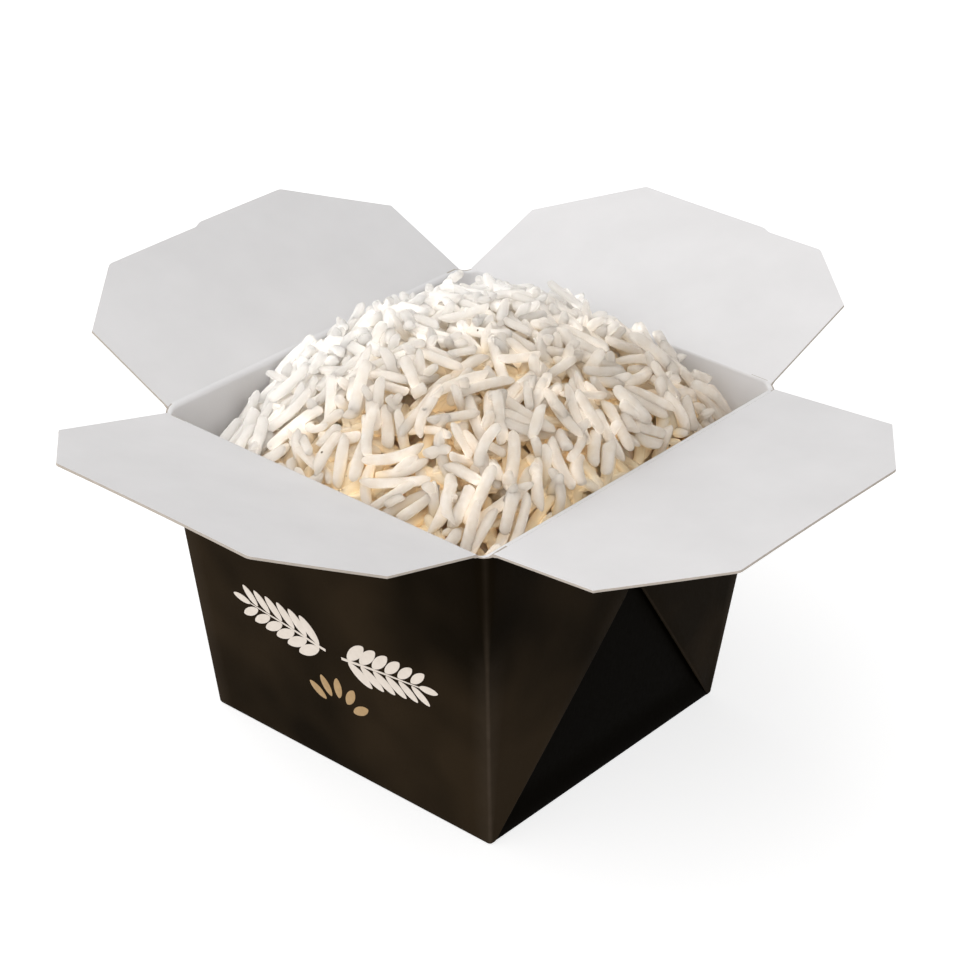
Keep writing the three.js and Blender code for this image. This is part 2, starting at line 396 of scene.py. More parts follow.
def section(z, inward=0.0, inset=0.0, plain=True):
    """The carton's outline at height z, counter-clockwise from above. inward goes from 0
    on the outer face to 1 on the inner face, and inset draws the whole outline in."""
    level = min(z, HEIGHT)
    behind = {X: BOARD + web_thickness(level), Y: BOARD}
    size = [half_size(axis, level) - inset - inward * behind[axis] for axis in (X, Y)]
    radius = lerp(fold_radius(level), inner_radius(level), inward)
    outline = []
    for quarter in range(4):
        out, across = (size[X], size[Y]) if quarter % 2 == 0 else (size[Y], size[X])
        half = across - radius
        columns = end_columns(level, half, plain) if quarter % 2 == 0 else front_columns(half)
        turn = quarter * math.pi / 2
        cosine, sine = math.cos(turn), math.sin(turn)
        wall = [(out - depth + bulge_at(a / half, level), a) for a, depth in columns]
        for angle in quarter_turn(FOLD_STEPS):
            wall.append((out - radius + radius * math.cos(angle), half + radius * math.sin(angle)))
        outline += [(x * cosine - y * sine, x * sine + y * cosine, z) for x, y in wall]
    return np.array(outline)


def column_roles():
    """For each point of a section: the angle round its fold, or nan off the folds; whether
    it is on a web's free edge, or on the wall between the webs, which gets painted shade; and
    how far it follows the lip over a crease, which at a corner dips to the cut edge."""
    roles = []
    for webs in (True, False, True, False):
        count = 2 * WEB_POINTS * webs + WALL_COLUMNS - 1
        for i in range(count):
            inner = min(i, count - 1 - i) * webs
            nose = WEB_COLUMNS <= inner < WEB_COLUMNS + NOSE_STEPS / 2
            painted_shade = inner >= WEB_COLUMNS + NOSE_STEPS - 1
            roles.append((math.nan, nose, painted_shade, 1.0))
        for angle in quarter_turn(FOLD_STEPS):
            roles.append((angle, 0.0, 0.0, math.cos(2 * angle) ** 2))
    return np.array(roles, dtype=float).T


def rubbed_and_highlit(turn, nose, z):
    """How rubbed and highlit each point of a section is at height z: a narrow stripe down each
    fold, partly wear and partly painted highlight, fading out under the lid flaps as painted
    shade, and a painted highlight on the webs' edges."""
    off_middle = (turn - math.pi / 4) * fold_radius(z) / RUB_HIGHLIGHT_WIDTH
    stripe = np.nan_to_num(np.exp(-off_middle ** 2)) * (1 - HIGHLIGHT_LOST * smoothstep(*HIGHLIGHT_FADE, z))
    return np.maximum(stripe, EDGE_HIGHLIGHT * nose)


def flap_shadow(ring):
    """How much painted shadow of the lid flaps darkens the ink at each point of a ring, near the
    top of the front right corner.
    """
    away = np.hypot(ring[:, X] - RIM[X], ring[:, Y] + RIM[Y])
    return FLAP_SHADOW * np.exp(-(away / FLAP_SHADOW_REACH) ** 2) * smoothstep(*FLAP_SHADOW_RISE, ring[:, Z])


def make_carton():
    turn, nose, shade_behind_webs, lip = column_roles()
    rings, kinds, wear_and_highlight, painted_shade = [], [], [], []

    def add(ring, kind, corner_kind=None, webs=False):
        """A ring, with the finish below it on the walls and, where it differs, at the corners."""
        rings.append(ring)
        kinds.append((kind, kind if corner_kind is None else corner_kind))
        # rubbed stripe and painted highlight down the folds, and a painted highlight on the webs'
        # edges
        wear_and_highlight.append(rubbed_and_highlit(turn, nose * webs, min(ring[0][Z], HEIGHT)))
        # painted shade between the webs, and painted shadow of the lid flaps at the front right
        # corner
        painted_shade.append(np.maximum(shade_behind_webs * webs, flap_shadow(ring)))

    for angle in quarter_turn(FOLD_STEPS):
        z = FOOT_RADIUS * (1 - math.cos(angle))
        add(section(z, inset=FOOT_RADIUS * (1 - math.sin(angle)), plain=False), PRINT, webs=True)
    web_top = HEIGHT - WEB_TOP
    for level in range(1, LEVELS + 1):
        add(section(lerp(FOOT_RADIUS, web_top, level / LEVELS), plain=False), PRINT, webs=True)
    add(section(web_top + WEB_CUT), PRINT)
    add(section(HEIGHT - CREASE_GAP), PRINT)
    for step, angle in enumerate(quarter_turn(LIP_STEPS)):
        ring = section(HEIGHT, inward=math.sin(angle))
        over_crease = HEIGHT + LIP - LIP_DROP * (1 - math.cos(angle))
        at_corner = HEIGHT - CREASE_GAP - CORNER_DROP * (1 - math.cos(angle))
        ring[:, Z] = lerp(at_corner, over_crease, lip)
        add(ring, PRINT if step == 0 else LINER, EDGE if step < 2 else LINER)
    for level in range(INNER_LEVELS):
        z = lerp(HEIGHT - INNER_TOP, BOARD, level / (INNER_LEVELS - 1))
        add(section(z, inward=1.0), LINER)

    count = len(turn)
    points = np.concatenate(rings)
    numbers = [list(range(r * count, (r + 1) * count)) for r in range(len(rings))]
    faces, slots = [], []
    for r in range(len(rings) - 1):
        faces += band_faces(numbers[r], numbers[r + 1])
        slots += [kinds[r + 1][0 if math.isnan(angle) else 1] for angle in turn]
    foot, floor = len(points), len(points) + 1
    points = np.vstack([points, [(0, 0, 0), (0, 0, BOARD)]])
    faces += fan_faces(numbers[0], foot, up=False) + fan_faces(numbers[-1], floor, up=True)
    slots += [PRINT] * count + [LINER] * count
    layers = {
        "wear_and_highlight": np.append(np.concatenate(wear_and_highlight), [0, 0]),
        "painted_shade": np.append(np.concatenate(painted_shade), [0, 0]),
    }
    carton = mesh_object("carton_board", points, faces, BOARD_FINISHES, slots, layers)
    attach(carton, "box")
    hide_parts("carton")


# ---- The lid flaps ---------------------------------------------------------------------

FLAP_COLUMN = 1.5          # spacing of the columns along a flap's crease
FLAP_ROWS = 16
TIP_ROUNDING = 0.6         # how far a corner of the outline is rounded
UNDER_FROM = 1.2           # how far from the crease the flat underside begins
ROOT_CLEAR = 5             # points further out than this tell which way a flap lies
CRACKED = 2                # faces of the bead where the bending has cracked the board open
BOW_POWER = 1.5            # how late on its way out a flap bows

# The rounded root of a flap round its crease, as (out, up): from the top side down, and
# on underneath.
BEAD = [(BOARD * math.cos(math.radians(a)), BOARD * math.sin(math.radians(a)))
        for a in range(100, 200, 15)]
UNDER_BEAD = [(-0.3, -0.2), (0.0, -0.22), (0.35, -0.12), (0.8, 0.0)]

# How far the middle of each flap's far edge bows up.
FLAP_BOWS = {"flap_front": 0.5, "flap_back": -0.4, "flap_left": 0.6, "flap_right": 0.5}


class CreaseFrame:
    """A flap's own directions: along its crease, out over the board and up from it."""

    def __init__(self, node):
        joint = JOINTS[BODY_OF[node]]
        self.origin = np.array(joint["pos_m"]) / MM
        self.along = np.array(joint["axis"], float)
        rows = node_points(node) - self.origin
        flat = rows - np.outer(rows @ self.along, self.along)
        far = flat[np.linalg.norm(flat, axis=1) > ROOT_CLEAR]
        units = far / np.linalg.norm(far, axis=1)[:, None]
        ups = np.cross(self.along, units)
        lowest = (ups @ flat.T).min(axis=1)
        best = lowest.argmax()
        self.out, self.up = units[best], ups[best]
        self.local = np.column_stack([rows @ self.along, rows @ self.out, rows @ self.up])

    def world(self, local):
        return self.origin + local @ np.array([self.along, self.out, self.up])


def flap_reach(local):
    """How far the board reaches out at each place along the crease, and where its columns go."""
    outline = local[(local[:, 2] < BOARD / 2) & (local[:, 1] > 1)]
    outline = outline[outline[:, 0].argsort()]
    _, first = np.unique(outline[:, 0].round(2), return_index=True)
    s, reach = outline[first, 0], outline[first, 1]
    even = np.arange(s[0], s[-1], FLAP_COLUMN)
    near = [s + offset for offset in np.linspace(-TIP_ROUNDING, TIP_ROUNDING, 5)]
    columns = np.unique(np.clip(np.concatenate([even, *near]), s[0], s[-1]).round(3))
    spread = np.linspace(-TIP_ROUNDING, TIP_ROUNDING, 9)
    rounded = np.mean([np.interp(columns + offset, s, reach) for offset in spread], axis=0)
    rounded[[0, -1]] = reach[[0, -1]]
    return columns, rounded


def make_flap(node):
    """A flap as columns of points along its crease, each a loop: the top side from the tip
    in, round the crease, and the underside out again."""
    crease = CreaseFrame(node)
    columns, reach = flap_reach(crease.local)
    half = columns[-1]
    rows = np.linspace(0, 1, FLAP_ROWS + 1)
    points = []
    for s, far in zip(columns, reach):
        bow = FLAP_BOWS[node] * (1 - (s / half) ** 2)
        bend = bow * (rows * far / reach.max()) ** BOW_POWER
        upper = [(s, t * far, BOARD + b) for t, b in zip(rows[::-1], bend[::-1])]
        lower = [(s, max(t * far, UNDER_FROM), b) for t, b in zip(rows[1:], bend[1:])]
        points.append(upper + [(s, v, n) for v, n in BEAD + UNDER_BEAD] + lower)
    loop = len(points[0])
    local = np.array(points).reshape(-1, 3)
    numbers = [list(range(c * loop, (c + 1) * loop)) for c in range(len(columns))]
    white = FLAP_ROWS + len(BEAD) - CRACKED
    faces, slots = [], []
    for c in range(len(columns) - 1):
        faces += band_faces(numbers[c], numbers[c + 1])
        slots += [LINER] * white + [EDGE] * CRACKED
        slots += [PRINT] * (loop - white - CRACKED - 1) + [EDGE]
    for ring, up in ((numbers[0], False), (numbers[-1], True)):
        for i in range(loop // 2 - 1):
            quad = (ring[i], ring[i + 1], ring[loop - 2 - i], ring[loop - 1 - i])
            faces.append(quad if up else quad[::-1])
            slots.append(EDGE)
    flap = mesh_object(node + "_board", crease.world(local), faces, BOARD_FINISHES, slots)
    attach(flap, BODY_OF[node])
    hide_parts(node)


make_carton()
for flap_node in BODY_OF:
    make_flap(flap_node)


# ---- The print on the front wall -------------------------------------------------------

# A plain ornament: two ears of rice that lie out to either side of the middle, in cream,
# over a fan of gold grains. Places are millimetres across the wall and up it.
EAR_ROOT = (2.2, 31.5)
EAR_REACH = (21, 2.5)      # from the root to the tip
EAR_ARCH = 0.8             # how far the stem bows up on its way
EAR_PAIRS = 6              # pairs of grains along a stem,
EAR_SPAN = (0.06, 0.88)    # from here to here on its way
EAR_GRAIN = (7.4, 2.7)     # length and width of the largest
EAR_TAPER = 0.7            # size of the smallest to it
EAR_GRAIN_OFF = (0.52, 0.5)    # from the stem to a grain's middle: in lengths, and on top
EAR_SPREAD = math.radians(40)
STEM_WIDTH = 0.7
STEM_THINS = 0.6           # how much of the width is gone at the tip
STEM_STEPS = 24
SLIGHTLY = 0.01            # a small part of the way along a stem
TIP_GRAIN = (5.0, 1.8)
FAN_ROOT = (0, 15.5)
FAN_GRAINS = 5
FAN_GRAIN = (5.2, 2.2)
FAN_SPREAD = math.radians(112)
FAN_RADIUS = 7.2
ALMOND_STEPS = 12
ALMOND_POINT = 1.3         # the higher, the more pointed

# The ink's rings of points, from inside the board up: how far proud of it, and their size.
INK_RINGS = ((-0.05, 1.0), (0.042, 1.0), (0.07, 0.86))


def almond(middle, direction, length, width):
    """The outline of a pointed oval, counter-clockwise."""
    cosine, sine = math.cos(direction), math.sin(direction)
    outline = []
    for side in (-1, 1):
        for step in range(ALMOND_STEPS):
            angle = math.pi * step / ALMOND_STEPS
            a = side * math.cos(angle) * length / 2
            b = side * math.sin(angle) ** ALMOND_POINT * width / 2
            outline.append((middle[0] + a * cosine - b * sine, middle[1] + a * sine + b * cosine))
    return outline


def off(place, direction, distance):
    """The place that lies a distance away in a direction."""
    return place[0] + distance * math.cos(direction), place[1] + distance * math.sin(direction)


def ear_point(t, side):
    """A place along a stem, with t from 0 at the root to 1 at the tip."""
    across = EAR_ROOT[0] + EAR_REACH[0] * t
    up = EAR_ROOT[1] + EAR_REACH[1] * t * t + EAR_ARCH * math.sin(math.pi * t)
    return side * across, up


def ear_direction(t, side):
    """The direction in which a stem runs at a place."""
    (x0, z0), (x1, z1) = (ear_point(t + step, side) for step in (-SLIGHTLY, SLIGHTLY))
    return math.atan2(z1 - z0, x1 - x0)


def stem(side):
    """The outline of a stem, thinning towards its tip, counter-clockwise."""
    lower, upper = [], []
    for i in range(STEM_STEPS + 1):
        t = i / STEM_STEPS
        turn = ear_direction(t, side) + math.pi / 2
        half = STEM_WIDTH / 2 * (1 - STEM_THINS * t)
        lower.append(off(ear_point(t, side), turn, -half))
        upper.append(off(ear_point(t, side), turn, half))
    return lower + upper[::-1]


def ear(side):
    shapes = []
    for pair in range(EAR_PAIRS):
        t = lerp(*EAR_SPAN, pair / (EAR_PAIRS - 1))
        length, width = (size * lerp(1.0, EAR_TAPER, t) for size in EAR_GRAIN)
        for turn in (-1, 1):
            direction = ear_direction(t, side) + turn * EAR_SPREAD
            distance = EAR_GRAIN_OFF[0] * length + EAR_GRAIN_OFF[1]
            middle = off(ear_point(t, side), direction, distance)
            shapes.append(almond(middle, direction, length, width))
    direction = ear_direction(1.0, side)
    middle = off(ear_point(1.0, side), direction, TIP_GRAIN[0] / 2)
    return shapes + [almond(middle, direction, *TIP_GRAIN)]


def fan():
    shapes = []
    for i in range(FAN_GRAINS):
        direction = math.pi / 2 + FAN_SPREAD * (i / (FAN_GRAINS - 1) - 0.5)
        shapes.append(almond(off(FAN_ROOT, direction, FAN_RADIUS), direction, *FAN_GRAIN))
    return shapes


def on_front(x, z, proud):
    """A point on the carton's front wall, or so far in front of it."""
    half = half_size(X, z) - fold_radius(z)
    return (x, -(half_size(Y, z) + bulge_at(x / half, z) + proud), z)


def ink_piece(name, shapes, material):
    """Flat shapes of raised ink, each a thin closed body with a rounded top."""
    points, faces = [], []
    for outline in shapes:
        middle = np.mean(outline, axis=0)
        rings = []
        for proud, scale in INK_RINGS:
            rings.append(list(range(len(points), len(points) + len(outline))))
            drawn = middle + (np.array(outline) - middle) * scale
            points += [on_front(x, z, proud) for x, z in drawn]
        for lower, upper in zip(rings, rings[1:]):
            faces += band_faces(lower, upper)
        faces += [tuple(rings[0][::-1]), tuple(rings[-1])]
    piece = mesh_object(name, points, faces, [material], sharp=50)
    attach(piece, "box")


def cream_ink():
    finish = Finish("cream_ink", Specular_IOR_Level=0.3, Roughness=0.45)
    finish.colour(finish.mix(finish.noise(1.5, detail=4), (0.66, 0.58, 0.50), (0.80, 0.72, 0.64)))
    finish.bump(finish.noise(0.4, detail=3), 0.015)
    return finish.material


def gold_ink():
    finish = Finish("gold_ink", Metallic=0.35, Specular_IOR_Level=0.4, Roughness=0.42)
    finish.colour(finish.mix(finish.noise(1.2, detail=4), (0.34, 0.21, 0.085), (0.50, 0.33, 0.155)))
    finish.bump(finish.noise(0.4, detail=3), 0.015)
    return finish.material


ink_piece("cream_ink", [stem(side) for side in (-1, 1)] + ear(-1) + ear(1), cream_ink())
ink_piece("gold_ink", fan(), gold_ink())


# ---- The rice --------------------------------------------------------------------------

SEED = 11
CELL = 0.3                 # millimetres between the places where the heap's height is kept
RAY_SPACING = 1.2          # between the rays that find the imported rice's height
RAY_FROM = 0.2             # metres up, clear over the rice
HOLE_ROUNDS = 6            # in which heights spread out to where the rays miss the rice
CORE_DEPTH = 8.0           # how far the core lies under the heap's surface
CORE_STEP = 4              # cells between the core's points
CORE_CLEAR = 0.2           # from the core down to the box's floor
CORE_ROUGH = 0.8           # spread of the ground's height that grains settle on
WALL_GAP = 0.15            # clearance between a grain and the board
EDGE_GAP = 0.6             # how near the walls a place may want a grain,
EDGE_DEPTH = 2             # this far under the heap's surface
WALL_SLACK = 0.02          # by which a grain counts as inside all the same
FLAP_LEAN = math.radians(25)   # how far the closed front and back flaps lean in
FLAP_GAP = 0.8             # from a grain to their planes through the creases, at least
GRAIN_MESH = (12, 15)      # sides and rings of a grain's mesh
COARSE_MESH = (10, 11)     # the same for a grain low in the heap
BEDDED = 620               # grains that lie under the others and show only between them
BED_DEPTH = (2.6, 5.6)     # how deep they lie under the heap's surface
BED_UNEVEN = 0.25          # how far they tip from its slope, in radians
PROBES = np.linspace(-0.88, 0.88, 11)   # places along a grain, from -1 to 1, that can touch
COVERED = np.linspace(-0.97, 0.97, 25)  # places whose thickness raises the heap
MEAN_RADIUS = 1.12         # of a grain, for keeping how low a middle line can lie
DROPPED = 7000             # grains dropped on the bed, most of which find no room
HEADINGS = 10              # directions that a grain tries at a place
SETTLING_ROUNDS = 3        # in which a lying grain finds its slope
PRESS = 0.45               # how far a lying grain sinks into those under it
SQUEEZE = 1.2              # how far a standing grain is pushed into the one under its foot,
MOST_PUSH = 1.3            # and the most that it may push into any
PATIENCE = 0.7             # how much less a place is wanted after each failure
LYING_RISE = 1.3           # how far a lying grain may stand above the heap's surface
STEEPEST_LYING = math.radians(60)
STANDING_PITCH = (math.radians(40), math.radians(80))
STANDING_RISE = (-0.6, 2.9)
STANDING_WANTED = 0.20     # share of places given to a standing grain at once
WEDGED = 900               # places looked at for a last grain pushed in among the others
WEDGE_DEPTH = (1.0, 2.6)   # how far such a grain lies under the surface
WEDGE_PITCH = 0.6          # the most that it slopes, in radians
WEDGE_PUSH = 1.3           # how far it may push into its neighbours, on average
TIPS = 220                 # grains, at most, whose ends stick up out of the finished heap
TIP_PITCH = (math.radians(30), math.radians(75))
TIP_RISE = (0.8, 3.6)      # how far they stick out
TIP_CLEAR = 0.3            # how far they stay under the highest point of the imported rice
PALE_DEPTH = 0.8           # painted warm shade: rice is white down to this depth under the heap's surface,
WARM_DEPTH = 3.4           # and fully warm with painted shade this much further down

SHADED_SIDE = math.radians(68)   # the way that rice gets creamier with painted shade, turned from -Y to +X
SIDE_SHADE_FROM = (-24, 26)     # where along that way the painted side shade begins and is at its full
LIT_SIDE_WARMTH = 0.15    # how much of the painted warm shade of depth is left on the lit side
SIDE_SHADE_SHARE = 0.85         # how far its full takes away the white
LEAST_WHITE = 0.8          # whiteness of the dullest grain where there is no painted side shade

# The kinds of grain: their share of the drawn grains, then length, thickness and curve in
# millimetres, each as a mean and a spread. The last kind isn't drawn: it makes the bed.
KINDS = {
    "rice_straight": (0.45, (11.6, 1.6), (2.36, 0.19), (0.25, 0.2)),
    "rice_curved": (0.40, (11.4, 1.6), (2.33, 0.19), (1.05, 0.45)),
    "rice_short": (0.15, (7.2, 1.5), (2.28, 0.19), (0.15, 0.15)),
    "rice_under": (0.0, (11.4, 1.6), (2.35, 0.17), (0.6, 0.4)),
}
COARSE_KIND = "rice_under"

# How single grains differ in shape.
LEAST_LENGTH = 4.0
LEAST_THICKNESS = 1.9
HOOK = 0.28                # millimetres by which the ends turn aside, opposite ways
ROLL = 0.6                 # radians by which a grain lies turned about its length
END_POWERS = (5.0, 16.0)   # the higher, the blunter an end
END_CLOSING = 0.55         # 0.5 makes it round, and more makes it finer
SWELL = 0.05               # share by which the thickness goes up and down along a grain
FLATNESS = (0.74, 0.95)    # height over width
RIDGE = (0.06, 0.14)       # share by which a grain's three ridges stand out
TWIST = 0.3                # radians by which the ridges turn from end to end
SLANT = 0.7                # how far an end is cut off at a slant, in radii


def inner_half(z):
    """Half the clear width between the walls along X and Y at height z."""
    level = min(max(z, 0), HEIGHT)
    return (half_size(X, level) - BOARD - web_thickness(level) - WALL_GAP,
            half_size(Y, level) - BOARD - WALL_GAP)


class Field:
    """Heights over the inside of the box, on a square grid."""

    def __init__(self):
        low, high = (np.array(corner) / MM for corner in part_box("rice"))
        self.low = low[:2]
        self.shape = tuple(np.ceil((high[:2] - low[:2]) / CELL).astype(int) + 1)
        self.x = self.low[0] + CELL * np.arange(self.shape[0])
        self.y = self.low[1] + CELL * np.arange(self.shape[1])

    def cell(self, x, y):
        """The number of the nearest place along X and along Y, for a point or for many."""
        i = np.round((x - self.low[0]) / CELL).astype(int)
        j = np.round((y - self.low[1]) / CELL).astype(int)
        return np.clip(i, 0, self.shape[0] - 1), np.clip(j, 0, self.shape[1] - 1)

    def sample(self, heights, x, y):
        return heights[self.cell(x, y)]


def heap_surface(field):
    """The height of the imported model's rice over the grid."""
    mesh = frame["nodes"]["rice"].data
    polygons = [polygon.vertices for polygon in mesh.polygons]
    tree = BVHTree.FromPolygons([vertex.co for vertex in mesh.vertices], polygons)
    xs = np.arange(field.x[0], field.x[-1] + RAY_SPACING, RAY_SPACING)
    ys = np.arange(field.y[0], field.y[-1] + RAY_SPACING, RAY_SPACING)
    heights = np.full((len(xs), len(ys)), np.nan)
    down = Vector((0, 0, -1))
    for i, x in enumerate(xs):
        for j, y in enumerate(ys):
            hit = tree.ray_cast(Vector((x * MM, y * MM, RAY_FROM)), down)[0]
            if hit is not None:
                heights[i, j] = hit.z / MM
    for _ in range(HOLE_ROUNDS):
        holes = np.isnan(heights)
        if not holes.any():
            break
        padded = np.pad(heights, 1, constant_values=np.nan)
        around = np.stack([
            padded[:-2, 1:-1],
            padded[2:, 1:-1],
            padded[1:-1, :-2],
            padded[1:-1, 2:],
        ])
        known = ~np.isnan(around)
        mean = np.where(known, around, 0).sum(axis=0) / np.maximum(known.sum(axis=0), 1)
        heights = np.where(holes & known.any(axis=0), mean, heights)
    u = np.clip((field.x - xs[0]) / RAY_SPACING, 0, len(xs) - 1.001)
    v = np.clip((field.y - ys[0]) / RAY_SPACING, 0, len(ys) - 1.001)
    i, j = u.astype(int), v.astype(int)
    fu, fv = (u - i)[:, None], (v - j)[None, :]
    a, b = heights[np.ix_(i, j)], heights[np.ix_(i + 1, j)]
    c, d = heights[np.ix_(i, j + 1)], heights[np.ix_(i + 1, j + 1)]
    return (a * (1 - fu) + b * fu) * (1 - fv) + (c * (1 - fu) + d * fu) * fv


def axes_of(heading, pitch):
    """The directions along a grain, level to its side and up from it."""
    flat = np.cos(pitch)
    along = np.stack([np.cos(heading) * flat, np.sin(heading) * flat, np.sin(pitch)], axis=-1)
    side = np.stack([-np.sin(heading), np.cos(heading), np.zeros_like(heading)], axis=-1)
    return along, side, np.cross(along, side)


class Grain:
    """One grain: where it lies, which way it points, and its shape."""

    def __init__(self, kind, rng):
        _, length, thickness, curve = KINDS[kind]
        self.kind = kind
        self.length = max(rng.normal(*length), LEAST_LENGTH)
        self.radius = max(rng.normal(*thickness), LEAST_THICKNESS) / 2
        self.curve = abs(rng.normal(*curve))
        self.hook = rng.normal(0, HOOK)
        self.roll = rng.normal(0, ROLL) + (math.pi if rng.random() < 0.5 else 0)
        self.heading = 0.0
        self.pitch = 0.0
        self.middle = np.zeros(3)
        self.tone = rng.random()
        self.ends = rng.uniform(*END_POWERS, 2)
        self.swell = rng.normal(0, SWELL), rng.uniform(0, 2 * math.pi)
        self.flat = rng.uniform(*FLATNESS)
        self.ridge = rng.uniform(*RIDGE), rng.uniform(0, 2 * math.pi)
        self.twist = rng.normal(0, TWIST)
        self.slant = rng.normal(0, SLANT, 2)

    def settle(self, middle, heading, pitch):
        self.middle = middle.copy()
        self.heading = heading
        self.pitch = pitch

    def centrelines(self, t, heading, pitch):
        """Points along the grain's middle, from its centre, for each heading and pitch. What
        is taken off the bends keeps its centre and its direction where they are."""
        along, side, up = axes_of(heading, pitch)
        bend = side * math.cos(self.roll) + up * math.sin(self.roll)
        across = up * math.cos(self.roll) - side * math.sin(self.roll)
        run = t * self.length / 2
        arc = self.curve * (t * t - 1 / 3)
        kink = self.hook * (t ** 3 - 0.6 * t)
        return sum(np.multiply.outer(amount, way).swapaxes(0, -2)
                   for amount, way in ((run, along), (arc, bend), (kink, across)))

    def centreline(self, t):
        lines = self.centrelines(t, np.array([self.heading]), np.array([self.pitch]))
        return self.middle + lines[0]

    def thickness(self, t):
        """The radius along the grain: nearly even, closing over a blunter or a finer end."""
        power = np.where(t < 0, self.ends[0], self.ends[1])
        swell = 1 + self.swell[0] * np.sin(3 * t + self.swell[1])
        return self.radius * swell * np.clip(1 - np.abs(t) ** power, 0, 1) ** END_CLOSING


